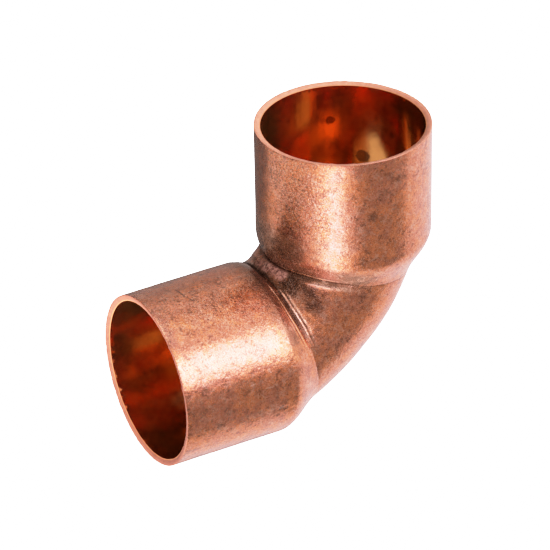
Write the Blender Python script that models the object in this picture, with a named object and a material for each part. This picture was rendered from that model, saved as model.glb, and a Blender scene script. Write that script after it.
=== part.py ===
"""A 90 degree copper elbow for 22 mm water pipe, with a solder socket at each end.

The elbow is one length of copper tube, bent, sized and opened out at both ends, so it is
one closed shell. +Z is up. One socket opens upwards and the other one opens towards -X,
and the shell is symmetric about the XZ plane. The two halves meet at the bend's own mid
plane and are nearly mirror images across it: the side half's socket is a little deeper.
Each section of the tube is an ellipse through two points: one on the inside line of the
bend and one on its back line.
"""
import math
from collections import namedtuple

import bmesh
import bpy
from mathutils import Vector

MM = 0.001

# A standard 22 mm tube slides into the bore of each socket.
BORE_RADIUS = 11.06 * MM
SOCKET_WALL = 0.92 * MM
SOCKET_RADIUS = BORE_RADIUS + SOCKET_WALL
CENTRE_TO_FACE = 30.9 * MM

# The shoulder narrows from the straight socket, which has this depth, to a crease. The
# crease's points on the inside line and on the back line are (x, z) from the crossing of
# the socket axes, with the half turned so that its socket opens upwards.
Half = namedtuple("Half", "socket_depth crease_inside crease_back")
UPPER_HALF = Half(15.6 * MM, (-11.50 * MM, 13.35 * MM), (8.75 * MM, 8.86 * MM))
SIDE_HALF = Half(16.4 * MM, (-11.65 * MM, 13.15 * MM), (8.75 * MM, 8.45 * MM))
CREASE_HALF_WIDTH = 9.95 * MM

# The middle of the bend is narrower again. Its points lie on the bend's mid plane.
BEND_INSIDE = (-12.43 * MM, 12.43 * MM)
BEND_BACK = (1.74 * MM, -1.74 * MM)
BEND_HALF_WIDTH = 9.80 * MM
BEND_WALL = 0.98 * MM

# The back line leaves the crease at this angle from the vertical.
BACK_LEAN = math.radians(26.0)

# The cut end of a socket is a flat ring between a rounded edge and a bevel in the bore.
RIM_ROUND = 0.12 * MM
BEVEL_WIDTH = 0.38 * MM
BEVEL_DEPTH = 0.30 * MM

SIDES = 44
ROUND_STEPS = 2
SHOULDER_STEPS = 7
BEND_STEPS = 5

# The elbow's lowest line is at the height zero, and its box is centred over the origin.
AXES_CROSSING = Vector(((CENTRE_TO_FACE - SOCKET_RADIUS) / 2, 0.0, SOCKET_RADIUS))

COPPER_COLOUR = (0.62, 0.30, 0.19, 1.0)


def mix(start, end, share):
    return start + (end - start) * share


def mix_points(start, end, share):
    return mix(start[0], end[0], share), mix(start[1], end[1], share)


def shoulder_fall(share):
    """How much of the narrowing has happened: slow at both ends of the shoulder."""
    smooth = share * share * (3.0 - 2.0 * share)
    return 0.5 * share ** 1.5 + 0.5 * smooth


def socket_section(height, inset=0.0):
    """Inside point, back point, half width and wall of a round section of the socket."""
    radius = SOCKET_RADIUS - inset
    return (-radius, height), (radius, height), radius, SOCKET_WALL - inset


def shoulder_section(half, share):
    start = CENTRE_TO_FACE - half.socket_depth
    fall = shoulder_fall(share)
    crease_inside, crease_back = half.crease_inside, half.crease_back
    inside = mix(-SOCKET_RADIUS, crease_inside[0], fall), mix(start, crease_inside[1], share)
    back = mix(SOCKET_RADIUS, crease_back[0], fall), mix(start, crease_back[1], share)
    wall = mix(SOCKET_WALL, BEND_WALL, share)
    return inside, back, mix(SOCKET_RADIUS, CREASE_HALF_WIDTH, fall), wall


def bend_section(half, share):
    """A section between the crease (0) and the middle of the bend (1)."""
    lean = Vector((-math.sin(BACK_LEAN), -math.cos(BACK_LEAN)))
    crease = Vector(half.crease_back)
    middle = Vector(BEND_BACK)
    # The back line crosses the mid plane at a right angle. Its guide point is where the
    # tangents at the crease and at the mid plane meet.
    gap = (middle.x - middle.y) - (crease.x - crease.y)
    guide = crease + lean * (gap / (lean.x - lean.y))
    back = crease * (1 - share) ** 2 + guide * 2 * share * (1 - share) + middle * share ** 2
    inside = mix_points(half.crease_inside, BEND_INSIDE, share)
    half_width = mix(CREASE_HALF_WIDTH, BEND_HALF_WIDTH, share * (2.0 - share))
    return inside, tuple(back), half_width, BEND_WALL


def section_ring(section, depth=0.0):
    """The corners of a section's ellipse, at a depth below the outer surface."""
    inside, back, half_width, _ = section
    inside = Vector((inside[0], 0.0, inside[1]))
    back = Vector((back[0], 0.0, back[1]))
    across = (back - inside) / 2
    across -= across.normalized() * depth
    side = Vector((0.0, half_width - depth, 0.0))
    centre = (inside + back) / 2
    turns = (math.tau * step / SIDES for step in range(SIDES))
    return [centre + across * math.cos(turn) + side * math.sin(turn) for turn in turns]


def path_sections(half):
    """The sections of a half below its rim, down to the middle of the bend."""
    sections = [socket_section(CENTRE_TO_FACE - half.socket_depth)]
    shoulder_shares = (step / SHOULDER_STEPS for step in range(1, SHOULDER_STEPS + 1))
    sections += [shoulder_section(half, share) for share in shoulder_shares]
    bend_shares = (step / BEND_STEPS for step in range(1, BEND_STEPS + 1))
    sections += [bend_section(half, share) for share in bend_shares]
    return sections


def outer_rings(half):
    rings = []
    for step in range(ROUND_STEPS + 1):
        turn = math.pi / 2 * step / ROUND_STEPS
        inset = RIM_ROUND * (1.0 - math.sin(turn))
        drop = RIM_ROUND * (1.0 - math.cos(turn))
        rings.append(section_ring(socket_section(CENTRE_TO_FACE - drop, inset)))
    return rings + [section_ring(section) for section in path_sections(half)]


def inner_rings(half):
    """The bore, from the inner edge of the rim's flat ring to the middle of the bend."""
    edge = socket_section(CENTRE_TO_FACE)
    bevel_foot = socket_section(CENTRE_TO_FACE - BEVEL_DEPTH)
    rings = [section_ring(edge, SOCKET_WALL - BEVEL_WIDTH), section_ring(bevel_foot, SOCKET_WALL)]
    return rings + [section_ring(section, section[3]) for section in path_sections(half)]


def mirrored(ring):
    """The same ring in the other half, across the bend's mid plane."""
    return [Vector((-corner.z, corner.y, -corner.x)) for corner in ring]


def whole_length(rings_of):
    """Rings from the upward socket to the side socket; the halves share the middle one."""
    side_rings = rings_of(SIDE_HALF)[:-1]
    return rings_of(UPPER_HALF) + [mirrored(ring) for ring in reversed(side_rings)]


def copper():
    material = bpy.data.materials.new("copper")
    material.use_nodes = True
    shader = material.node_tree.nodes["Principled BSDF"]
    shader.inputs["Base Color"].default_value = COPPER_COLOUR
    shader.inputs["Metallic"].default_value = 1.0
    shader.inputs["Roughness"].default_value = 0.36
    return material


def build_elbow():
    rings = whole_length(outer_rings) + whole_length(inner_rings)[::-1]
    mesh_builder = bmesh.new()
    corners = [[mesh_builder.verts.new(corner) for corner in ring] for ring in rings]
    for index, ring in enumerate(corners):
        following = corners[(index + 1) % len(corners)]
        for side in range(SIDES):
            after = (side + 1) % SIDES
            mesh_builder.faces.new((ring[side], ring[after], following[after], following[side]))
    bmesh.ops.recalc_face_normals(mesh_builder, faces=mesh_builder.faces)
    mesh = bpy.data.meshes.new("elbow_body")
    mesh_builder.to_mesh(mesh)
    mesh_builder.free()
    mesh.shade_smooth()
    mesh.set_sharp_from_angle(angle=math.radians(30.0))
    mesh.materials.append(copper())
    elbow = bpy.data.objects.new("elbow_body", mesh)
    elbow.location = AXES_CROSSING
    bpy.context.scene.collection.objects.link(elbow)
    return elbow


def main():
    for old in list(bpy.data.objects):
        bpy.data.objects.remove(old, do_unlink=True)
    build_elbow()


main()
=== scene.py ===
"""Looks of the copper elbow: its fine surface, the copper, the studio and the camera."""

import math
from collections import namedtuple

import bpy
import numpy as np
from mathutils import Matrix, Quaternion, Vector, noise


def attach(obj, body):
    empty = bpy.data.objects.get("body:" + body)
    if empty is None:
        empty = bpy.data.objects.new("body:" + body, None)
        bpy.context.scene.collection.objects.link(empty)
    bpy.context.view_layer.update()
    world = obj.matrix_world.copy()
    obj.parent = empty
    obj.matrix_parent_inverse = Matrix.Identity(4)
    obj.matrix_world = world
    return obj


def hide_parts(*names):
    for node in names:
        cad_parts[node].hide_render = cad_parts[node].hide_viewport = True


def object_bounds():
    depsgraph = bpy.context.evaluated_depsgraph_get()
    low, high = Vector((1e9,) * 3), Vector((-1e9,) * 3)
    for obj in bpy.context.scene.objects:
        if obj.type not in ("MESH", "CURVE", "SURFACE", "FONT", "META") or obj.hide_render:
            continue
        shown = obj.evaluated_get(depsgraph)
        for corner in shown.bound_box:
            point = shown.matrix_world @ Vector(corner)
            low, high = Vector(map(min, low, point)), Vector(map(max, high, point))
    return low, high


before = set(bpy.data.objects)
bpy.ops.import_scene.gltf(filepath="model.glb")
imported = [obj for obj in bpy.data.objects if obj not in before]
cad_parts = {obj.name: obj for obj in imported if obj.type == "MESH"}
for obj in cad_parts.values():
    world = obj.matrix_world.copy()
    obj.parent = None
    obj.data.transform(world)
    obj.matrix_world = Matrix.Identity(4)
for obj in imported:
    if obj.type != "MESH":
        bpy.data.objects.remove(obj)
cad_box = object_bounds()

MM = 0.001

# The driving sizes come from the frame's box; the others repeat the CAD's own, from the
# crossing of the two socket axes.
SOCKET_RADIUS = (cad_box[1].y - cad_box[0].y) / 2
CENTRE_TO_FACE = cad_box[1].z - SOCKET_RADIUS
CROSSING = Vector((cad_box[1].x - SOCKET_RADIUS, 0.0, SOCKET_RADIUS))
SOCKET_WALL = 0.92 * MM
Half = namedtuple("Half", "name socket_depth crease_inside crease_back")
UPPER_HALF = Half("upper", 15.6 * MM, (-11.50 * MM, 13.35 * MM), (8.75 * MM, 8.86 * MM))
SIDE_HALF = Half("side", 16.4 * MM, (-11.65 * MM, 13.15 * MM), (8.75 * MM, 8.45 * MM))
CREASE_HALF_WIDTH = 9.95 * MM
BEND_INSIDE = (-12.43 * MM, 12.43 * MM)
BEND_BACK = (1.74 * MM, -1.74 * MM)
BEND_HALF_WIDTH = 9.80 * MM
BEND_WALL = 0.98 * MM
BACK_LEAN = math.radians(26.0)

# The cut end: a small round, a flat ring, a bevel and a bright lip at the bore.
RIM_ROUND = 0.08 * MM
FLAT_INNER = 0.32 * MM
BEVEL_DEPTH = 0.30 * MM
LIP_WIDTH = 0.08 * MM

# Resolution of the fine surface.
SIDES = 280
ROUND_STEPS = 3
SOCKET_STEPS = 40
SHOULDER_STEPS = 40
BEND_STEPS = 32
BORE_SOCKET_STEPS = 22
BORE_SHOULDER_STEPS = 14
BORE_BEND_STEPS = 12
CREASE_CROWDING = 1.7

# The surface is never perfect: it waves by this much, always below the nominal wall. The
# cut ends sink by as much as their highest burr stands up, so nothing leaves the CAD's box.
WAVE_HEIGHT = 0.030 * MM
WAVE_PITCH = 210.0
RIPPLE_HEIGHT = 0.010 * MM
RIPPLE_PITCH = 700.0
OUTSIDE_SEED = 3.7
BORE_SEED = 11.2
RIM_SINK = 0.08 * MM


def mix(start, end, share):
    return start + (end - start) * share


def bell(distance, width):
    return np.exp(-((distance / width) ** 2))


# ---------------------------------------------------------------- the shell's sections


def shoulder_fall(share):
    smooth = share * share * (3.0 - 2.0 * share)
    return 0.5 * share ** 1.5 + 0.5 * smooth


def socket_section(height):
    return (-SOCKET_RADIUS, height), (SOCKET_RADIUS, height), SOCKET_RADIUS, SOCKET_WALL


def shoulder_section(half, share):
    start = CENTRE_TO_FACE - half.socket_depth
    fall = shoulder_fall(share)
    crease_inside, crease_back = half.crease_inside, half.crease_back
    inside = mix(-SOCKET_RADIUS, crease_inside[0], fall), mix(start, crease_inside[1], share)
    back = mix(SOCKET_RADIUS, crease_back[0], fall), mix(start, crease_back[1], share)
    return inside, back, mix(SOCKET_RADIUS, CREASE_HALF_WIDTH, fall), mix(SOCKET_WALL, BEND_WALL, share)


def bend_section(half, share):
    lean = Vector((-math.sin(BACK_LEAN), -math.cos(BACK_LEAN)))
    crease = Vector(half.crease_back)
    middle = Vector(BEND_BACK)
    gap = (middle.x - middle.y) - (crease.x - crease.y)
    guide = crease + lean * (gap / (lean.x - lean.y))
    back = crease * (1 - share) ** 2 + guide * 2 * share * (1 - share) + middle * share ** 2
    inside = mix(Vector(half.crease_inside), Vector(BEND_INSIDE), share)
    half_width = mix(CREASE_HALF_WIDTH, BEND_HALF_WIDTH, share * (2.0 - share))
    return tuple(inside), tuple(back), half_width, BEND_WALL


# Places round a section, from the back line at 0 degrees to the inside line at 180. LAPS
# counts both ways round alike.
TURNS = np.arange(SIDES) * (math.tau / SIDES)
SIGNED_TURNS = np.degrees((TURNS + math.pi) % math.tau - math.pi)
LAPS = np.abs(SIGNED_TURNS)


def section_ring(section, depth=0.0):
    """Corners of a section's ellipse and the outward direction at each of them."""
    inside, back, half_width, _ = section
    inside = np.array((inside[0], 0.0, inside[1]))
    back = np.array((back[0], 0.0, back[1]))
    across = (back - inside) / 2
    reach = np.linalg.norm(across)
    across_way = across / reach
    side_way = np.array((0.0, 1.0, 0.0))
    cosine = np.cos(TURNS)[:, None]
    sine = np.sin(TURNS)[:, None]
    centre = (inside + back) / 2
    corners = centre + cosine * across_way * (reach - depth) + sine * side_way * (half_width - depth)
    outward = cosine * across_way / reach + sine * side_way / half_width
    return corners, outward / np.linalg.norm(outward, axis=1)[:, None]


def fall_in(corners, outward, amount):
    return corners + outward * np.asarray(amount)[:, None]


def wave(corners, seed):
    """Slow waves of the drawn tube and a finer ripple, never above the nominal surface."""
    shift = Vector((seed, -seed, seed * 0.5))
    slow = np.array([noise.noise(Vector(c) * WAVE_PITCH + shift) for c in corners])
    fine = np.array([noise.noise(Vector(c) * RIPPLE_PITCH - shift) for c in corners])
    return (slow - 1.0) * WAVE_HEIGHT + (fine - 1.0) * RIPPLE_HEIGHT


# How long the shoulder and half the bend are at the inside line and at the back line.
SHOULDER_LENGTHS = (2.3 * MM, 7.4 * MM)
BEND_LENGTHS = (1.3 * MM, 12.3 * MM)

# How far each crease strays towards the bend, as lap in degrees and millimetres. Above the
# crease the wall strays with it, less and less, until STRAY_REACH up the socket.
CREASE_STRAY = {
    "upper": ((0, 0.0), (60, 0.10), (90, 0.20), (125, 0.05), (145, 0.08), (162, 0.35), (180, 0.45)),
    "side": ((0, 0.0), (50, 0.45), (80, 0.62), (100, 0.62), (118, 0.36), (135, 0.06), (180, -0.20)),
}
STRAY_AT_WALL_END = 0.5
STRAY_REACH = 5.0 * MM

# Folds beside each crease: distance from it in millimetres (more is nearer the bend), half
# width, height, and the laps between which the fold shows.
FOLDS = {
    "upper": (
        (0.00, 0.17, -0.13, 20, 180),
        (-0.50, 0.13, -0.05, 118, 172),
        (-0.26, 0.10, 0.03, 118, 172),
        (0.62, 0.30, 0.11, 104, 142),
    ),
    "side": (
        (0.00, 0.20, -0.15, 60, 180),
        (-0.45, 0.14, 0.06, 108, 165),
        (-0.78, 0.12, -0.05, 108, 165),
        (-1.10, 0.15, 0.04, 108, 165),
        (0.48, 0.17, 0.09, 100, 150),
        (0.78, 0.09, -0.03, 100, 150),
        (1.06, 0.20, 0.06, 100, 150),
    ),
}


def window(laps, low, high, soft=12.0):
    """One between two laps, falling smoothly to zero outside them."""
    rise = np.clip((laps - low) / soft + 0.5, 0.0, 1.0)
    drop = np.clip((high - laps) / soft + 0.5, 0.0, 1.0)
    return rise * rise * (3 - 2 * rise) * drop * drop * (3 - 2 * drop)


def crease_relief(half, distance):
    """The pinched groove of the crease and the folds beside it."""
    strength = np.interp(LAPS, (0, 60, 95, 125, 180), (0.15, 0.20, 0.32, 0.80, 1.0))
    relief = np.zeros(SIDES)
    for place, width, height, low, high in FOLDS[half.name]:
        shows = window(LAPS, low, high)
        relief += height * MM * bell(distance - place * MM, width * MM) * shows
    return relief * strength


# Soft swellings of the wall: half, share of the way (below -1 on the socket, below 0 on the
# shoulder, above 0 on the bend), signed turn in degrees, half width of each, and height.
SWELLINGS = (
    ("upper", 0.40, -50.0, 0.45, 36.0, 0.25 * MM),
    ("side", 0.40, -50.0, 0.45, 36.0, 0.06 * MM),
    ("side", -0.15, 146.0, 0.50, 26.0, 0.26 * MM),
    ("side", -1.10, 146.0, 0.60, 30.0, 0.15 * MM),
    ("side", 0.50, 146.0, 0.60, 34.0, -0.13 * MM),
    ("upper", -0.40, 151.0, 0.35, 28.0, 0.12 * MM),
    ("upper", 0.50, 151.0, 0.60, 34.0, -0.13 * MM),
)


def swelling(half, share):
    amount = np.zeros(SIDES)
    for name, place, turn, reach, width, height in SWELLINGS:
        if name == half.name:
            amount += height * bell(share - place, reach) * bell(SIGNED_TURNS - turn, width)
    return amount


# Marks of handling, in millimetres from the crossing: place, radius and depth (a lump is
# a negative depth).
DENTS = (
    ((-16.2, -11.6, -2.7), (0.9, 0.5, 0.22), 0.10),
    ((-14.9, -11.4, -3.3), (0.6, 0.5, 0.20), 0.08),
    ((-30.9, -11.2, 4.7), (0.30, 0.5, 0.30), -0.16),
    ((-24.9, -1.6, 11.8), (0.30, 1.1, 0.5), 0.03),
    ((-2.4, -11.7, 22.7), (0.7, 0.6, 0.7), 0.02),
)


def dents(corners):
    amount = np.zeros(len(corners))
    for place, radii, depth in DENTS:
        away = (corners / MM - np.array(place)) / np.array(radii)
        amount -= depth * MM * np.exp(-(away ** 2).sum(axis=1))
    return amount


def mirrored(corners):
    return np.stack((-corners[:, 2], corners[:, 1], -corners[:, 0]), axis=1)


# One ring of the shell: its corners, how far each is from the crease (negative on the
# socket's side), and how much the ring belongs to the bright lip at the bore.
Ring = namedtuple("Ring", "corners crease lip")
FAR_FROM_CREASE = np.full(SIDES, -60.0 * MM)


def finished(ring, half, distance, extra, stray):
    """A ring of the outer surface, turned into its own half, with its waves and dents."""
    corners, outward = ring
    shift = np.interp(LAPS, *zip(*CREASE_STRAY[half.name])) * MM * stray
    corners = corners - np.array((0.0, 0.0, 1.0)) * shift[:, None]
    if half.name == "side":
        corners, outward = mirrored(corners), mirrored(outward)
    amount = wave(corners, OUTSIDE_SEED) + dents(corners) + extra
    return Ring(fall_in(corners, outward, amount), distance, 0.0)


# Burrs and nicks left by the saw: signed turn in degrees and height in millimetres.
BURRS = {
    "upper": (
        (-128.0, 0.07), (-113.0, 0.04), (-101.0, 0.08), (-94.0, 0.04), (-63.0, 0.07), (58.5, 0.06),
    ),
    "side": ((-113.0, 0.08), (-60.0, 0.04), (54.0, -0.08)),
}
BURR_WIDTH = 0.9
DEEPEST_NICK = -0.08


def rim_burrs(half):
    """How far each corner of the saw-cut edge stands up, in millimetres."""
    seed = 1.3 if half.name == "upper" else 7.9
    ring = [Vector((math.cos(turn), math.sin(turn), seed)) for turn in TURNS]
    rough = np.array([noise.noise(point * 26.0) for point in ring])
    slow = np.array([noise.noise(point * 2.3) for point in ring])
    height = np.clip(rough * 1.5 + slow * 0.7, -0.8, 1.0) * 0.04
    for turn, lump in BURRS[half.name]:
        height += lump * bell(SIGNED_TURNS - turn, BURR_WIDTH)
    return np.clip(height, DEEPEST_NICK, RIM_SINK / MM)


def rim_rings(half):
    """The cut end, from the lip at the bore out to the round of the outer edge."""
    burrs = rim_burrs(half)[:, None] * MM
    axis = np.array((0.0, 0.0, 1.0))
    top = CENTRE_TO_FACE - RIM_SINK
    lip_inner = SOCKET_WALL - LIP_WIDTH
    # Depth below the outer surface, drop below the end, shares of the burr inwards and
    # along the axis, and how much the stage belongs to the lip.
    stages = (
        (SOCKET_WALL, BEVEL_DEPTH, 0.5, 0.0, 1.0),
        (SOCKET_WALL - 0.02 * MM, BEVEL_DEPTH * 0.94, 0.6, 0.1, 1.0),
        (lip_inner, BEVEL_DEPTH * 0.86, 0.6, 0.3, 1.0),
        (lip_inner - 0.05 * MM, BEVEL_DEPTH * 0.70, 0.4, 0.5, 0.0),
        (mix(FLAT_INNER, lip_inner, 0.4), BEVEL_DEPTH * 0.26, 0.3, 0.7, 0.0),
        (FLAT_INNER, 0.0, 0.3, 0.9, 0.0),
        (mix(FLAT_INNER, RIM_ROUND, 0.5), 0.0, 0.2, 1.0, 0.0),
    )
    rings = []
    for depth, drop, inward, lift, lip in stages:
        corners, outward = section_ring(socket_section(top - drop), depth)
        corners = corners - outward * burrs * inward + axis * burrs * lift
        rings.append(Ring(corners, FAR_FROM_CREASE, lip))
    for step in range(ROUND_STEPS + 1):
        turn = math.pi / 2 * step / ROUND_STEPS
        inset = RIM_ROUND * (1.0 - math.sin(turn))
        drop = RIM_ROUND * (1.0 - math.cos(turn))
        corners, outward = section_ring(socket_section(top - drop), inset)
        settle = wave(corners if half.name == "upper" else mirrored(corners), OUTSIDE_SEED)
        corners = fall_in(corners, outward, settle)
        corners = corners + axis * burrs * math.cos(turn)
        rings.append(Ring(corners, FAR_FROM_CREASE, 0.0))
    return rings


def outer_half(half):
    rings = []
    top = CENTRE_TO_FACE - RIM_SINK - RIM_ROUND
    bottom = CENTRE_TO_FACE - half.socket_depth
    backness = (1.0 + np.cos(TURNS)) / 2
    shoulder_length = SHOULDER_LENGTHS[0] + (SHOULDER_LENGTHS[1] - SHOULDER_LENGTHS[0]) * backness
    bend_length = BEND_LENGTHS[0] + (BEND_LENGTHS[1] - BEND_LENGTHS[0]) * backness
    for step in range(1, SOCKET_STEPS + 1):
        height = mix(top, bottom, step / SOCKET_STEPS)
        stray = STRAY_AT_WALL_END * max(0.0, 1.0 - (height - bottom) / STRAY_REACH) ** 2
        distance = bottom - height - shoulder_length
        extra = swelling(half, (bottom - height) / half.socket_depth - 1.0)
        rings.append(finished(section_ring(socket_section(height)), half, distance, extra, stray))
    for step in range(1, SHOULDER_STEPS + 1):
        share = 1.0 - (1.0 - step / SHOULDER_STEPS) ** CREASE_CROWDING
        distance = -shoulder_length * (1.0 - share)
        extra = crease_relief(half, distance) + swelling(half, share - 1.0)
        stray = mix(STRAY_AT_WALL_END, 1.0, share)
        rings.append(finished(section_ring(shoulder_section(half, share)), half, distance, extra, stray))
    for step in range(1, BEND_STEPS + 1):
        share = (step / BEND_STEPS) ** CREASE_CROWDING
        distance = bend_length * share
        extra = crease_relief(half, distance) * (1.0 - share) + swelling(half, share)
        stray = (1.0 - share) ** 1.5
        rings.append(finished(section_ring(bend_section(half, share)), half, distance, extra, stray))
    return rings


# Long streaks that the sizing tool left along the bore: about how many in a turn, and height.
BORE_STREAKS = {
    "upper": ((5.0, 0.034 * MM), (12.0, 0.010 * MM), (22.0, 0.006 * MM)),
    "side": ((4.0, 0.016 * MM), (11.0, 0.005 * MM), (20.0, 0.003 * MM)),
}


def bore_streaks(half):
    seed = 4.2 if half.name == "upper" else 9.6
    amount = np.zeros(SIDES)
    for count, height in BORE_STREAKS[half.name]:
        ring = [Vector((math.cos(turn) * count, math.sin(turn) * count, seed)) for turn in TURNS]
        amount += height * np.array([noise.noise(point) for point in ring])
    return amount


# How many rings of the bore the bright lip fades over, and how many its waves take to grow
# from the rim and to settle at the middle of the bend.
LIP_FADE_RINGS = 3
WAVE_GROWTH_RINGS = 4
WAVE_SETTLING_RINGS = 10


def bore_half(half):
    """The bore from just below the rim's bevel to the middle of the bend."""
    rings = []
    top = CENTRE_TO_FACE - RIM_SINK - BEVEL_DEPTH - 0.02 * MM
    bottom = CENTRE_TO_FACE - half.socket_depth
    streaks = bore_streaks(half)
    steps = range(BORE_SOCKET_STEPS + 1)
    sections = [socket_section(mix(top, bottom, step / BORE_SOCKET_STEPS)) for step in steps]
    steps = range(1, BORE_SHOULDER_STEPS + 1)
    sections += [shoulder_section(half, step / BORE_SHOULDER_STEPS) for step in steps]
    steps = range(1, BORE_BEND_STEPS + 1)
    sections += [bend_section(half, step / BORE_BEND_STEPS) for step in steps]
    for index, section in enumerate(sections):
        corners, outward = section_ring(section, section[3])
        if half.name == "side":
            corners, outward = mirrored(corners), mirrored(outward)
        rings_left = len(sections) - 1 - index
        fade = min(1.0, index / WAVE_GROWTH_RINGS) * min(1.0, rings_left / WAVE_SETTLING_RINGS)
        lip = max(0.0, 1.0 - index / LIP_FADE_RINGS)
        amount = (wave(corners, BORE_SEED) + streaks) * fade
        rings.append(Ring(fall_in(corners, outward, amount), FAR_FROM_CREASE, lip))
    return rings


# Which material a band of faces has: the order of the materials on the shell.
OUTSIDE, CUT_END, BORE = range(3)


def build_shell():
    """One closed loft: over the upper rim, down the outside, over the side rim and back inside."""
    upper_rim = rim_rings(UPPER_HALF)
    side_rim = [ring._replace(corners=mirrored(ring.corners)) for ring in rim_rings(SIDE_HALF)]
    upper_outside = outer_half(UPPER_HALF)
    side_outside = outer_half(SIDE_HALF)[:-1][::-1]
    bore = bore_half(SIDE_HALF) + bore_half(UPPER_HALF)[:-1][::-1]
    rings = upper_rim + upper_outside + side_outside + side_rim[::-1] + bore
    count = len(rings)
    corners = np.concatenate([ring.corners for ring in rings]) + np.array(CROSSING)
    first = np.arange(count)[:, None] * SIDES + np.arange(SIDES)[None, :]
    after = np.roll(first, -1, axis=1)
    faces = np.stack((first, after, np.roll(after, -1, axis=0), np.roll(first, -1, axis=0)), axis=-1)
    faces = faces[:, :, ::-1].reshape(-1, 4)
    mesh = bpy.data.meshes.new("elbow_shell")
    mesh.from_pydata(corners.tolist(), [], faces.tolist())
    part = np.full(count, OUTSIDE)
    side_start = len(upper_rim) + len(upper_outside) + len(side_outside)
    part[: len(upper_rim) - 2] = CUT_END
    part[side_start + 1 : side_start + len(side_rim) - 1] = CUT_END
    part[side_start + len(side_rim) - 1 :] = BORE
    mesh.polygons.foreach_set("material_index", np.repeat(part, SIDES))
    on_side = np.arange(count) >= len(upper_rim) + len(upper_outside)
    details = {
        "crease": np.concatenate([ring.crease for ring in rings]) / MM,
        "lap": np.tile(LAPS, count),
        "side": np.repeat(on_side.astype(float), SIDES),
        "lip": np.repeat([ring.lip for ring in rings], SIDES),
    }
    for name, values in details.items():
        mesh.attributes.new(name, "FLOAT", "POINT").data.foreach_set("value", values)
    mesh.shade_smooth()
    mesh.update()
    shell = bpy.data.objects.new("elbow_shell", mesh)
    bpy.context.scene.collection.objects.link(shell)
    return shell


# ---------------------------------------------------------------- node graphs


class Graph:
    """Short forms for the nodes of one tree."""

    def __init__(self, tree):
        self.tree = tree
        tree.nodes.clear()

    def node(self, kind, **settings):
        made = self.tree.nodes.new(kind)
        for name, value in settings.items():
            setattr(made, name, value)
        return made

    def put(self, socket, value):
        if isinstance(value, bpy.types.NodeSocket):
            self.tree.links.new(value, socket)
        else:
            socket.default_value = value

    def math(self, operation, *values, clamp=False):
        made = self.node("ShaderNodeMath", operation=operation, use_clamp=clamp)
        for socket, value in zip(made.inputs, values):
            self.put(socket, value)
        return made.outputs[0]

    def vector(self, operation, *values):
        made = self.node("ShaderNodeVectorMath", operation=operation)
        for socket, value in zip(made.inputs, values):
            self.put(socket, value)
        single = operation in {"LENGTH", "DISTANCE", "DOT_PRODUCT"}
        return made.outputs["Value" if single else "Vector"]

    def scaled(self, vector, factor):
        made = self.node("ShaderNodeVectorMath", operation="SCALE")
        self.put(made.inputs[0], vector)
        self.put(made.inputs["Scale"], factor)
        return made.outputs["Vector"]

    def ramp(self, value, low, high, to_low=0.0, to_high=1.0):
        made = self.node("ShaderNodeMapRange", interpolation_type="SMOOTHSTEP")
        for socket, item in zip(made.inputs, (value, low, high, to_low, to_high)):
            self.put(socket, item)
        return made.outputs["Result"]

    def noise(self, vector, scale, detail=2.0, roughness=0.5, distortion=0.0):
        made = self.node("ShaderNodeTexNoise")
        self.put(made.inputs["Vector"], vector)
        self.put(made.inputs["Scale"], scale)
        self.put(made.inputs["Detail"], detail)
        self.put(made.inputs["Roughness"], roughness)
        self.put(made.inputs["Distortion"], distortion)
        return made.outputs["Fac"]

    def detail(self, name):
        """A number that the mesh carries at its corners."""
        return self.node("ShaderNodeAttribute", attribute_name=name).outputs["Fac"]

    def grey(self, value):
        """A grey colour from a number."""
        made = self.node("ShaderNodeCombineColor")
        for socket in made.inputs:
            self.put(socket, value)
        return made.outputs["Color"]

    def blend(self, factor, first, second, way="MIX"):
        made = self.node("ShaderNodeMix", data_type="RGBA", blend_type=way)
        self.put(made.inputs["Factor"], factor)
        self.put(made.inputs["A"], first)
        self.put(made.inputs["B"], second)
        return made.outputs["Result"]


def colour(red, green, blue):
    return (red, green, blue, 1.0)


# ---------------------------------------------------------------- copper


PINK_COPPER = colour(0.805, 0.257, 0.143)
WARM_COPPER = colour(0.825, 0.244, 0.100)
ORANGE_COPPER = colour(0.980, 0.380, 0.140)
# Lighter copper painted on as highlight where the highlights are brightest.
PAINTED_HIGHLIGHT = colour(0.960, 0.430, 0.300)
# Lit and shaded copies of the cut ends' copper: painted light and painted shade.
LIT_CUT_COPPER = colour(1.000, 0.375, 0.225)
SHADED_CUT = colour(0.585, 0.166, 0.094)
# The lip's bright orange is partly the colour of the bare cut metal and partly a painted highlight along
# the bore's edge.
LIP_COPPER = colour(1.000, 0.335, 0.125)
BORE_COPPER = colour(0.718, 0.298, 0.092)
# Pale copper for pale specks and bright scratches, and for the painted glints beside the creases.
PALE_SPECK_AND_GLINT = colour(1.000, 0.520, 0.370)
DARK_SPECK = colour(0.380, 0.105, 0.050)
# Dark brown painted as shade on the shoulders above the creases.
SHADE_ABOVE_CREASE = colour(0.200, 0.098, 0.058)
# Dark brown painted on as shade and as a dark reflection.
PAINTED_SHADE = colour(0.210, 0.080, 0.048)
SOOT = colour(0.110, 0.055, 0.040)
# Dark brown for the painted shade in the creases, and for dark hairline scratches.
CREASE_SHADE_AND_SCRATCH = colour(0.150, 0.060, 0.035)
VIOLET = colour(0.380, 0.170, 0.160)
THROAT_PALE = colour(0.760, 0.335, 0.255)
THROAT_DARK = colour(0.200, 0.065, 0.055)
BORE_SOOT = colour(0.130, 0.040, 0.018)

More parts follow.
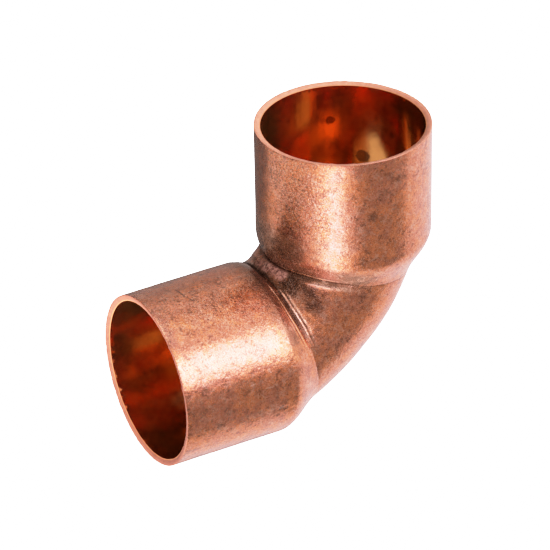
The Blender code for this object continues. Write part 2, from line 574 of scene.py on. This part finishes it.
# Marks on the surface are lines in the row frame, in millimetres: start, end, radius, share.
# A round mark starts and ends at one point. GRITTY's shares are how much stronger the speckle
# is along the line.
STAINS = (
    ((7.1, -11.7, 34.7), (7.1, -11.7, 34.7), 0.75, 0.60),
    ((8.4, -11.9, 34.3), (9.3, -11.9, 33.6), 0.60, 0.35),
    ((5.2, -11.2, 34.4), (5.2, -11.2, 34.4), 0.40, 0.45),
    ((8.9, -11.9, 40.8), (9.8, -12.0, 40.4), 0.45, 0.40),
    ((12.6, -11.6, 30.6), (14.0, -11.0, 31.4), 0.45, 0.30),
    ((-7.6, -11.7, 9.8), (-6.2, -11.5, 9.0), 0.22, 0.90),
    ((-16.9, -11.7, 9.6), (-15.9, -11.7, 9.7), 0.30, 0.60),
    ((-21.1, -11.7, 9.9), (-21.0, -11.6, 9.1), 0.40, 0.60),
    ((-20.5, -10.5, 6.2), (-19.2, -10.6, 6.5), 0.45, 0.55),
    ((-8.8, -4.5, 23.0), (-4.2, -4.8, 22.4), 0.55, 0.40),
    ((-13.5, -11.3, 15.3), (-10.5, -11.8, 13.6), 0.80, 0.15),
)
# Painted shade: dark patches beside the throat, where the wall reflects the dark surroundings, and on
# the side socket's top next to its crease.
PAINTED_SHADE_MARKS = (
    ((-2.0, -4.6, 23.7), (-0.6, -7.0, 22.4), 1.45, 0.64),
    ((-0.8, -6.6, 22.9), (0.3, -8.2, 21.1), 1.15, 0.60),
    ((-4.6, 7.0, 21.8), (-4.3, -1.0, 23.6), 1.20, 0.50),
)
THROAT = (
    ((-3.0, 1.2, 24.4), (-2.9, -0.4, 24.5), 1.00, 0.60),
    ((-2.9, -0.4, 24.5), (-2.1, -3.4, 24.4), 0.95, 0.80),
)
TINTS = (
    ((-20.9, -5.2, 22.8), (-20.6, -7.0, 21.7), 0.90, 0.50),
    ((-20.9, -2.0, 23.8), (-20.4, -4.6, 23.0), 0.60, 0.35),
)
# Painted highlights: lighter copper laid along the brightest parts of the highlights on both sockets.
PAINTED_HIGHLIGHT_MARKS = (
    ((1.3, -8.6, 29.6), (3.4, -10.2, 30.4), 1.60, 0.40),
    ((-0.3, -7.0, 29.4), (0.6, -8.0, 31.6), 1.20, 0.28),
    ((-20.0, -9.6, 19.2), (-8.0, -9.9, 18.8), 1.50, 0.34),
    ((2.6, -9.7, 41.0), (3.2, -10.0, 29.6), 1.10, 0.30),
)
GRITTY = (
    ((-1.5, -4.0, 41.0), (-0.5, -6.5, 34.0), 4.50, 1.35),
    ((-20.0, -1.0, 23.8), (-6.0, -4.5, 23.0), 5.50, 0.8),
    ((-2.2, 1.5, 24.8), (-1.2, -5.0, 24.0), 1.80, 1.3),
    ((2.5, -9.6, 41.0), (2.5, -9.6, 29.0), 2.00, 0.2),
)
SCRATCHES = (
    ((-15.8, 1.1, 23.9), (-15.5, -0.9, 23.9), 0.090, 0.85),
    ((-15.5, -0.9, 23.9), (-14.9, -2.3, 23.7), 0.080, 0.75),
    ((3.4, -10.3, 32.0), (5.8, -11.4, 29.7), 0.050, 0.30),
)
BRIGHT_SCRATCHES = (
    ((7.0, -11.7, 33.6), (10.4, -11.9, 36.1), 0.045, 0.45),
    ((-8.8, -11.4, 15.9), (-8.4, -11.4, 15.3), 0.090, 0.95),
    ((-11.6, -11.7, 14.4), (-10.9, -11.7, 14.5), 0.075, 0.90),
    ((-9.3, -11.9, 13.4), (-8.3, -11.9, 13.3), 0.070, 0.80),
    ((-15.2, -11.1, 16.5), (-14.4, -11.1, 16.3), 0.070, 0.70),
)
BORE_STAINS = (
    ((13.4, 10.3, 37.3), (13.4, 10.3, 37.3), 0.65, 0.85),
    ((17.2, 7.9, 31.8), (17.2, 7.9, 31.8), 1.00, 0.85),
    ((19.6, 4.3, 36.0), (19.6, 4.3, 36.0), 0.45, 0.45),
)

# Lines along the creases: 0 for the upper half or 1 for the side half, distance from the
# crease in millimetres (more is nearer the bend), half width where the line is full and
# where it ends, the laps between which it shows, and share.
# Painted shade: dark lines in and beside the crease grooves.
CREASE_SHADE_LINES = (
    (0, 0.00, 0.10, 0.50, 112, 200, 0.74),
    (0, 0.00, 0.03, 0.20, 50, 92, 0.45),
    (0, -0.52, 0.04, 0.17, 120, 168, 0.70),
    (1, 0.02, 0.20, 0.85, 114, 200, 0.76),
    (1, -0.80, 0.04, 0.16, 108, 160, 0.50),
    (1, 0.78, 0.03, 0.13, 104, 146, 0.45),
)
# Painted shade: broad dark bands on the shoulders above the creases, darkest near them.
SHADE_ABOVE_CREASE_LINES = (
    (0, -1.10, 0.50, 2.60, 92, 200, 0.80),
    (0, -3.20, 1.20, 4.20, 144, 200, 0.72),
    (1, -1.70, 0.60, 3.60, 112, 190, 0.66),
)
ORANGE_LINES = (
    (0, -0.26, 0.04, 0.15, 124, 162, 0.55),
    (1, -0.45, 0.06, 0.19, 110, 150, 0.75),
    (1, -1.10, 0.05, 0.18, 110, 150, 0.45),
)
# Painted highlights: pale glints along the folds just past the creases.
PAINTED_GLINT_LINES = (
    (0, 0.62, 0.16, 0.38, 106, 136, 0.75),
    (1, 0.48, 0.10, 0.24, 103, 150, 0.70),
    (1, 1.06, 0.12, 0.30, 103, 146, 0.60),
)


def distance_to_line(graph, place, start, end):
    start = Vector(start)
    line = Vector(end) - start
    if line.length == 0:
        return graph.vector("DISTANCE", place, start)
    from_start = graph.vector("SUBTRACT", place, start)
    along = graph.vector("DOT_PRODUCT", from_start, line)
    along = graph.math("DIVIDE", along, line.length_squared, clamp=True)
    foot = graph.scaled(line, along)
    return graph.vector("LENGTH", graph.vector("SUBTRACT", from_start, foot))


def marks(graph, place, lines, near=0.3, far=1.4):
    """The strongest of some marks at each point, each fading from near to far radii away."""
    mask = None
    for start, end, radius, share in lines:
        away = distance_to_line(graph, place, start, end)
        one = graph.ramp(away, radius * near, radius * far, share, 0.0)
        mask = one if mask is None else graph.math("MAXIMUM", mask, one)
    return mask


# Half of the lap, in degrees, over which a line along a crease starts or ends.
LINE_END = 9


def crease_lines(graph, place, lines):
    """The strongest of some lines along the creases at each point, each wavering a little."""
    waver = graph.math("SUBTRACT", graph.noise(place, 1.6, 3.0, 0.6), 0.5)
    distance = graph.math("MULTIPLY_ADD", waver, 0.30, graph.detail("crease"))
    lap = graph.math("MULTIPLY_ADD", waver, 30.0, graph.detail("lap"))
    on_side = graph.detail("side")
    on_half = (graph.math("SUBTRACT", 1.0, on_side), on_side)
    mask = None
    for half, centre, full, end, low, high, share in lines:
        away = graph.math("ABSOLUTE", graph.math("SUBTRACT", distance, centre))
        one = graph.ramp(away, full, end, share, 0.0)
        one = graph.math("MULTIPLY", one, graph.ramp(lap, low - LINE_END, low + LINE_END))
        ending = graph.ramp(lap, high - LINE_END, high + LINE_END, 1.0, 0.0)
        one = graph.math("MULTIPLY", one, ending)
        one = graph.math("MULTIPLY", one, on_half[half])
        mask = one if mask is None else graph.math("MAXIMUM", mask, one)
    return mask


def ragged_place(graph, place, share=1.0):
    """The same point pushed about by coarse and fine noise, so that marks get torn edges."""
    pushed = place
    for scale, reach in ((0.8, 0.9), (2.6, 0.45)):
        noise_node = graph.node("ShaderNodeTexNoise")
        graph.put(noise_node.inputs["Vector"], place)
        noise_node.inputs["Scale"].default_value = scale
        noise_node.inputs["Detail"].default_value = 2.0
        push = graph.vector("SUBTRACT", noise_node.outputs["Color"], Vector((0.5, 0.5, 0.5)))
        pushed = graph.vector("ADD", pushed, graph.scaled(push, reach * 2.0 * share))
    return pushed


def copper_graph(name):
    material = bpy.data.materials.new(name)
    material.use_nodes = True
    graph = Graph(material.node_tree)
    place = graph.scaled(graph.node("ShaderNodeTexCoord").outputs["Object"], 1.0 / MM)
    return material, graph, place


def outside_copper():
    material, graph, place = copper_graph("copper_outside")
    torn = ragged_place(graph, place)
    frayed = ragged_place(graph, place, 0.45)
    clouds = graph.noise(place, 0.23, 3.0, 0.55)
    mottle = graph.noise(place, 0.95, 4.0, 0.62)
    patches = graph.noise(graph.vector("ADD", place, (2.0, 8.0, 4.0)), 1.9, 4.0, 0.68)
    peel = graph.noise(place, 2.3, 3.0, 0.60, 0.6)
    grain = graph.noise(place, 5.2, 2.0, 0.60)
    flecks = graph.noise(graph.vector("ADD", place, (13.0, 5.0, 7.0)), 5.8, 2.0, 0.60)
    specks = graph.noise(graph.vector("ADD", place, (3.0, 9.0, 1.0)), 4.4, 1.0, 0.50)
    gritty = graph.math("MULTIPLY_ADD", marks(graph, torn, GRITTY, 0.3, 1.2), 0.7, 0.65)
    throat = marks(graph, frayed, THROAT, 0.4, 1.3)

    patch = graph.math("ADD", graph.math("MULTIPLY", clouds, 0.6), graph.math("MULTIPLY", mottle, 0.4))
    tone = graph.blend(graph.ramp(patch, 0.42, 0.58), PINK_COPPER, WARM_COPPER)
    shade = graph.ramp(mottle, 0.32, 0.68, 0.84, 1.14)
    shade = graph.math("MULTIPLY", shade, graph.ramp(clouds, 0.35, 0.65, 0.93, 1.06))
    shade = graph.math("MULTIPLY", shade, graph.ramp(patches, 0.36, 0.64, 0.85, 1.13))
    tone = graph.blend(1.0, tone, graph.grey(shade), "MULTIPLY")
    # Painted highlight: lighter copper along the brightest highlights.
    tone = graph.blend(marks(graph, torn, PAINTED_HIGHLIGHT_MARKS, 0.2, 1.5), tone, PAINTED_HIGHLIGHT)
    tone = graph.blend(marks(graph, torn, TINTS), tone, VIOLET)
    glow = graph.math("MULTIPLY", graph.ramp(peel, 0.50, 0.64), graph.math("MULTIPLY", gritty, 0.32))
    tone = graph.blend(glow, tone, ORANGE_COPPER)
    # Painted shade and painted dark reflection beside the throat and the side crease.
    tone = graph.blend(marks(graph, frayed, PAINTED_SHADE_MARKS, 0.5, 1.35), tone, PAINTED_SHADE)
    stains = marks(graph, torn, STAINS)
    tone = graph.blend(stains, tone, SOOT)
    pits = graph.math("MULTIPLY", graph.ramp(grain, 0.50, 0.64), graph.math("MULTIPLY", gritty, 0.92))
    tone = graph.blend(graph.math("MINIMUM", pits, 0.85), tone, DARK_SPECK)
    pale = graph.math("MULTIPLY", graph.ramp(flecks, 0.50, 0.64), graph.math("MULTIPLY", gritty, 0.68))
    tone = graph.blend(graph.math("MINIMUM", pale, 0.85), tone, PALE_SPECK_AND_GLINT)
    black = graph.math("MULTIPLY", graph.ramp(specks, 0.62, 0.70), graph.math("MULTIPLY", gritty, 0.68))
    tone = graph.blend(graph.math("MINIMUM", black, 0.80), tone, SOOT)
    # Painted shade on the shoulders above the creases, which also makes them a little less metallic.
    shade_above_crease = crease_lines(graph, place, SHADE_ABOVE_CREASE_LINES)
    tone = graph.blend(shade_above_crease, tone, SHADE_ABOVE_CREASE)
    tone = graph.blend(crease_lines(graph, place, ORANGE_LINES), tone, ORANGE_COPPER)
    torn_skin = graph.blend(graph.ramp(peel, 0.42, 0.56), THROAT_DARK, THROAT_PALE)
    tone = graph.blend(throat, tone, torn_skin)
    # Painted highlight: pale glints past the creases.
    painted_glint = graph.math("MULTIPLY", crease_lines(graph, place, PAINTED_GLINT_LINES), graph.ramp(peel, 0.40, 0.54))
    tone = graph.blend(painted_glint, tone, PALE_SPECK_AND_GLINT)
    # Painted shade along the creases.
    tone = graph.blend(crease_lines(graph, place, CREASE_SHADE_LINES), tone, CREASE_SHADE_AND_SCRATCH)
    scratched = marks(graph, place, SCRATCHES, 0.5, 1.6)
    tone = graph.blend(scratched, tone, SOOT)
    tone = graph.blend(graph.math("MULTIPLY", hairlines(graph, place, 0.0), 0.60), tone, CREASE_SHADE_AND_SCRATCH)
    tone = graph.blend(graph.math("MULTIPLY", hairlines(graph, place, 21.0), 0.40), tone, PALE_SPECK_AND_GLINT)
    tone = graph.blend(marks(graph, place, BRIGHT_SCRATCHES, 0.5, 1.6), tone, PALE_SPECK_AND_GLINT)

    roughness = graph.ramp(mottle, 0.30, 0.70, 0.21, 0.28)
    for spot, more in ((pits, 0.10), (stains, 0.10), (throat, 0.30)):
        roughness = graph.math("MULTIPLY_ADD", spot, more, roughness)

    height = graph.math("MULTIPLY_ADD", grain, -0.5, peel)
    height = graph.math("MULTIPLY", height, graph.math("MULTIPLY", gritty, 0.031))
    height = graph.math("MULTIPLY_ADD", mottle, 0.050, height)
    height = graph.math("MULTIPLY_ADD", tool_marks(graph, place), 0.0060, height)
    height = graph.math("MULTIPLY_ADD", scratched, -0.020, height)
    metal = graph.math("MULTIPLY_ADD", throat, -0.60, 1.0)
    metal = graph.math("MULTIPLY_ADD", shade_above_crease, -0.22, metal, clamp=True)
    finish(graph, tone, roughness, height, metal)
    return material


def hairlines(graph, place, shift):
    """Short fine scratches that wander over the surface."""
    moved = graph.vector("ADD", place, (shift, shift * 0.5, -shift))
    thread = graph.noise(moved, 0.85, 3.0, 0.58, 0.9)
    thread = graph.math("ABSOLUTE", graph.math("SUBTRACT", thread, 0.5))
    thread = graph.ramp(thread, 0.014, 0.046, 1.0, 0.0)
    return graph.math("MULTIPLY", thread, graph.ramp(graph.noise(moved, 0.75, 2.0, 0.5), 0.50, 0.60))


def tool_marks(graph, place):
    """Fine curved marks that a forming tool left on the upper socket."""
    rings = graph.vector("DISTANCE", place, Vector((6.0, -11.4, 39.9)))
    lines = graph.math("SINE", graph.math("MULTIPLY", rings, math.tau / 0.52))
    near = distance_to_line(graph, place, (-0.2, -7.0, 40.2), (0.5, -7.9, 36.6))
    return graph.math("MULTIPLY", lines, graph.ramp(near, 0.2, 1.7, 1.0, 0.0))


def rim_copper():
    material, graph, place = copper_graph("copper_cut")
    grain = graph.noise(place, 6.0, 3.0, 0.7)
    mottle = graph.noise(place, 1.3, 3.0, 0.6)
    shade = graph.math(
        "MULTIPLY",
        graph.ramp(grain, 0.3, 0.7, 0.78, 1.20),
        graph.ramp(mottle, 0.3, 0.7, 0.90, 1.10),
    )
    # Painted shade: the cut end darkens towards its front, the -y side, and lightens towards the back.
    forward = graph.vector("DOT_PRODUCT", place, Vector((0.0, 1.0, 0.0)))
    shade = graph.math("MULTIPLY", shade, graph.ramp(forward, -10.0, 2.0, 0.72, 1.06))
    # The upper cut end takes the lit copy and the side cut end the shaded copy: painted light and shade.
    tone = graph.blend(graph.detail("side"), LIT_CUT_COPPER, SHADED_CUT)
    tone = graph.blend(1.0, tone, graph.grey(shade), "MULTIPLY")
    # The lip: partly cut-metal colour, partly a painted highlight.
    tone = graph.blend(graph.detail("lip"), tone, LIP_COPPER)
    roughness = graph.ramp(mottle, 0.3, 0.7, 0.46, 0.58)
    finish(graph, tone, roughness, graph.math("MULTIPLY", grain, 0.03), metal=0.12)
    return material


def bore_copper():
    material, graph, place = copper_graph("copper_bore")
    mottle = graph.noise(place, 0.55, 4.0, 0.65)
    grain = graph.noise(place, 3.4, 3.0, 0.7)
    shade = graph.math(
        "MULTIPLY",
        graph.ramp(mottle, 0.32, 0.68, 0.94, 1.03),
        graph.ramp(grain, 0.3, 0.7, 0.95, 1.04),
    )
    # The bore's first rings below the lip are lighter copper, partly a painted highlight.
    tone = graph.blend(graph.detail("lip"), BORE_COPPER, WARM_COPPER)
    tone = graph.blend(1.0, tone, graph.grey(shade), "MULTIPLY")
    frayed = ragged_place(graph, place, 0.35)
    tone = graph.blend(marks(graph, frayed, BORE_STAINS, 0.8, 1.15), tone, BORE_SOOT)
    roughness = graph.ramp(mottle, 0.3, 0.7, 0.11, 0.20)
    finish(graph, tone, roughness, graph.math("MULTIPLY", mottle, 0.010), metal=0.97, coat=0.0)
    return material


def finish(graph, tone, roughness, height, metal=1.0, coat=0.08):
    """Metal, most of it under a thin clear film, with the height in millimetres as bump."""
    bump = graph.node("ShaderNodeBump")
    bump.inputs["Strength"].default_value = 1.0
    bump.inputs["Distance"].default_value = MM
    graph.put(bump.inputs["Height"], height)
    shader = graph.node("ShaderNodeBsdfPrincipled")
    graph.put(shader.inputs["Metallic"], metal)
    shader.inputs["Coat Weight"].default_value = coat
    shader.inputs["Coat Roughness"].default_value = 0.30
    graph.put(shader.inputs["Base Color"], tone)
    graph.put(shader.inputs["Roughness"], roughness)
    graph.put(shader.inputs["Normal"], bump.outputs["Normal"])
    output = graph.node("ShaderNodeOutputMaterial")
    graph.put(output.inputs["Surface"], shader.outputs["BSDF"])


# ---------------------------------------------------------------- studio


FLOOR_RADIUS = 4.0
FLOOR_SIDES = 96
FLOOR_GAP = 0.02 * MM
FLOOR_GLOW = 3.5
BASE_LIGHT = colour(1.02, 1.02, 1.02)

# Soft boxes and dark screens round the elbow, painted one over the other: azimuth and
# elevation of the middle, half width, half height and soft edge in degrees, light, and how
# much bluer than the base light it is.
SCREENS = (
    (-116.0, 24.0, 68.0, 38.0, 8.0, 0.06, 1.0),
    (-60.0, 4.0, 22.0, 14.0, 7.0, 0.45, 1.0),
    (156.0, 16.0, 21.0, 26.0, 6.0, 0.48, 1.0),
    (180.0, -34.0, 38.0, 26.0, 9.0, 0.20, 1.0),
    (-32.0, 9.0, 18.0, 16.0, 5.0, 0.07, 1.0),
    (-44.0, -11.0, 16.0, 14.0, 5.0, 1.55, 1.2),
    (21.0, -26.0, 36.0, 36.0, 5.0, 0.43, 1.0),
    (124.0, 60.0, 14.0, 16.0, 6.0, 0.60, 1.0),
    (52.0, 58.0, 26.0, 14.0, 8.0, 1.22, 1.05),
    (62.0, 16.0, 26.0, 20.0, 8.0, 1.25, 1.06),
    (52.0, 20.0, 14.0, 20.0, 7.0, 1.75, 1.08),
    (24.0, 29.0, 18.0, 18.0, 3.5, 4.3, 1.28),
    (-44.0, -49.0, 14.5, 27.0, 3.5, 3.5, 1.28),
    (106.0, -38.0, 36.0, 34.0, 8.0, 1.22, 1.14),
    (0.0, -90.0, 200.0, 15.0, 4.0, 1.25, 1.05),
    (0.0, 90.0, 200.0, 15.0, 4.0, 3.0, 1.0),
)


def light_the_studio():
    world = bpy.data.worlds.new("studio")
    world.use_nodes = True
    graph = Graph(world.node_tree)
    way = graph.node("ShaderNodeTexCoord").outputs["Generated"]
    split = graph.node("ShaderNodeSeparateXYZ")
    graph.put(split.inputs[0], way)
    east, north, up = split.outputs
    azimuth = graph.math("ARCTAN2", east, graph.math("MULTIPLY", north, -1.0))
    azimuth = graph.math("DEGREES", azimuth)
    elevation = graph.math("DEGREES", graph.math("ARCSINE", up))
    light = BASE_LIGHT
    for middle, height, half_width, half_height, soft, strength, blue in SCREENS:
        turn = graph.math("WRAP", graph.math("SUBTRACT", azimuth, middle), 180.0, -180.0)
        turn = graph.math("ABSOLUTE", turn)
        across = graph.ramp(turn, half_width - soft, half_width + soft, 1.0, 0.0)
        rise = graph.math("ABSOLUTE", graph.math("SUBTRACT", elevation, height))
        along = graph.ramp(rise, half_height - soft, half_height + soft, 1.0, 0.0)
        share = graph.math("MULTIPLY", across, along)
        light = graph.blend(share, light, colour(strength, strength, strength * blue))
    background = graph.node("ShaderNodeBackground")
    graph.put(background.inputs["Color"], light)
    output = graph.node("ShaderNodeOutputWorld")
    graph.put(output.inputs["Surface"], background.outputs[0])
    bpy.context.scene.world = world


def lay_the_floor():
    mesh = bpy.data.meshes.new("floor")
    turns = [math.tau * step / FLOOR_SIDES for step in range(FLOOR_SIDES)]
    rim = [(FLOOR_RADIUS * math.cos(turn), FLOOR_RADIUS * math.sin(turn), 0.0) for turn in turns]
    mesh.from_pydata(rim, [], [tuple(range(FLOOR_SIDES))])
    floor = bpy.data.objects.new("floor", mesh)
    floor.location.z = -FLOOR_GAP
    bpy.context.scene.collection.objects.link(floor)
    material = bpy.data.materials.new("white_table")
    material.use_nodes = True
    shader = material.node_tree.nodes["Principled BSDF"]
    shader.inputs["Base Color"].default_value = colour(0.92, 0.92, 0.92)
    shader.inputs["Roughness"].default_value = 0.7
    shader.inputs["Emission Color"].default_value = colour(1.0, 1.0, 1.0)
    shader.inputs["Emission Strength"].default_value = FLOOR_GLOW
    mesh.materials.append(material)
    floor.visible_glossy = False


# ---------------------------------------------------------------- camera


CAMERA_AZIMUTH = math.radians(-28.86)
CAMERA_ELEVATION = math.radians(30.81)
CAMERA_ROLL = math.radians(-0.99)
CAMERA_DISTANCE = 473.4 * MM
CAMERA_AIM = Vector((-6.69, 7.33, 5.39)) * MM
CAMERA_LENS = 224.8


def place_the_camera():
    flat = math.cos(CAMERA_ELEVATION)
    back = Vector((
        math.sin(CAMERA_AZIMUTH) * flat,
        -math.cos(CAMERA_AZIMUTH) * flat,
        math.sin(CAMERA_ELEVATION),
    ))
    data = bpy.data.cameras.new("camera")
    data.lens = CAMERA_LENS
    data.sensor_width = 36.0
    data.clip_start = 0.01
    data.clip_end = 20.0
    camera = bpy.data.objects.new("camera", data)
    camera.location = CROSSING + CAMERA_AIM + back * CAMERA_DISTANCE
    camera.rotation_mode = "QUATERNION"
    roll = Quaternion((0.0, 0.0, 1.0), CAMERA_ROLL)
    camera.rotation_quaternion = (-back).to_track_quat("-Z", "Y") @ roll
    bpy.context.scene.collection.objects.link(camera)
    bpy.context.scene.camera = camera


# ---------------------------------------------------------------- film


# How the film answers light, as light and shown: straight to the mid tones, then a soft
# shoulder.
SHOULDER = (
    (0.64, 0.64),
    (0.83, 0.745),
    (1.02, 0.83),
    (1.27, 0.905),
    (1.60, 0.955),
    (2.4, 0.985),
    (4.0, 1.0),
)


# The curve that acts on red, green and blue together.
ALL_CHANNELS = 3


def set_the_film():
    view = bpy.context.scene.view_settings
    view.view_transform = "Standard"
    view.use_curve_mapping = True
    curves = view.curve_mapping
    curves.clip_max_x = SHOULDER[-1][0]
    curve = curves.curves[ALL_CHANNELS]
    curve.points[0].handle_type = "VECTOR"
    curve.points[1].location = SHOULDER[-1]
    for light, shown in SHOULDER[:-1]:
        curve.points.new(light, shown)
    curve.points[1].handle_type = "VECTOR"
    curves.update()


# ---------------------------------------------------------------- the scene


set_the_film()
place_the_camera()
shell = build_shell()
for material in (outside_copper(), rim_copper(), bore_copper()):
    shell.data.materials.append(material)
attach(shell, "root")
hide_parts("elbow_body")
light_the_studio()
lay_the_floor()
